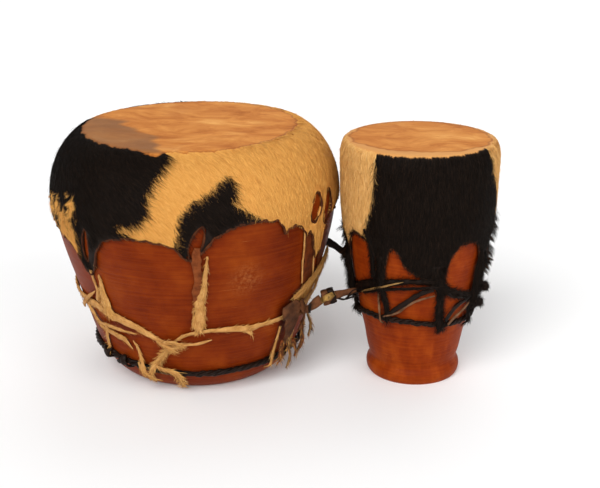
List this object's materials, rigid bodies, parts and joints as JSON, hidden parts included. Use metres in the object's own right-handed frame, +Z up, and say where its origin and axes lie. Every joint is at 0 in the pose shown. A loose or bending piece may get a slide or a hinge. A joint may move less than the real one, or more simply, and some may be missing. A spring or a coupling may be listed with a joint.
{
  "type": "bongo drums",
  "caption": "Pair of clay bongo drums, one large and one small, with laced hair-on cowhide heads, tied side by side.",
  "frame": {"origin": "on the floor, under the middle of the whole pair's box", "axes": "+X from the large drum to the small one, +Z up, and the player's side with the knotted lace is -Y"},
  "size_m": [0.4006, 0.2593, 0.2237],
  "materials": {
    "varnished_clay": "wheel-thrown terracotta with a thin red-brown varnish, fine turning lines and light scratches",
    "cowhide": "cowhide, shaved tan on the head, with short cream and black hair on the rim",
    "pale_thong": "cut strips of hide with cream and brown hair left on",
    "dark_thong": "cut strips of hide with black hair left on",
    "twisted_hide": "wet-twisted rawhide, nearly black, slightly glossy",
    "brown_leather": "worn brown leather with raw torn edges",
    "dark_leather": "dark brown leather strap"
  },
  "bodies": {
    "big_drum": {"big_shell": "varnished_clay", "big_hide": "cowhide", "big_thong_1": "pale_thong", "big_thong_2": "pale_thong", "big_thong_3": "pale_thong", "big_thong_4": "pale_thong", "big_thong_5": "pale_thong", "big_thong_6": "pale_thong", "big_thong_7": "pale_thong", "big_waist_lace": "pale_thong", "big_hoop": "twisted_hide", "big_down_ties": "pale_thong", "big_front_knot": "pale_thong", "big_strap_flap": "brown_leather", "big_flap_tails": "brown_leather", "tie_strap_front": "dark_leather", "tie_knot_front": "dark_leather", "tie_strap_rear": "dark_leather"},
    "small_drum": {"small_shell": "varnished_clay", "small_hide": "cowhide", "small_thong_1": "dark_thong", "small_thong_2": "dark_thong", "small_thong_3": "dark_thong", "small_thong_4": "dark_thong", "small_thong_5": "dark_thong", "small_thong_6": "dark_thong", "small_thong_7": "dark_thong", "small_thong_8": "dark_thong", "small_waist_lace": "dark_thong", "small_hoop": "twisted_hide", "small_down_ties": "dark_thong", "small_climbing_laces": "dark_thong", "small_side_knots": "dark_thong"}
  },
  "joints": [
    {"name": "tie_swing", "type": "hinge", "parent": "big_drum", "child": "small_drum", "pos_m": [0.06018, 0, 0.165], "axis": [0, 0, 1], "range_deg": [-12, 12], "deforming": ["tie_strap_front", "tie_knot_front", "tie_strap_rear"]}
  ]
}
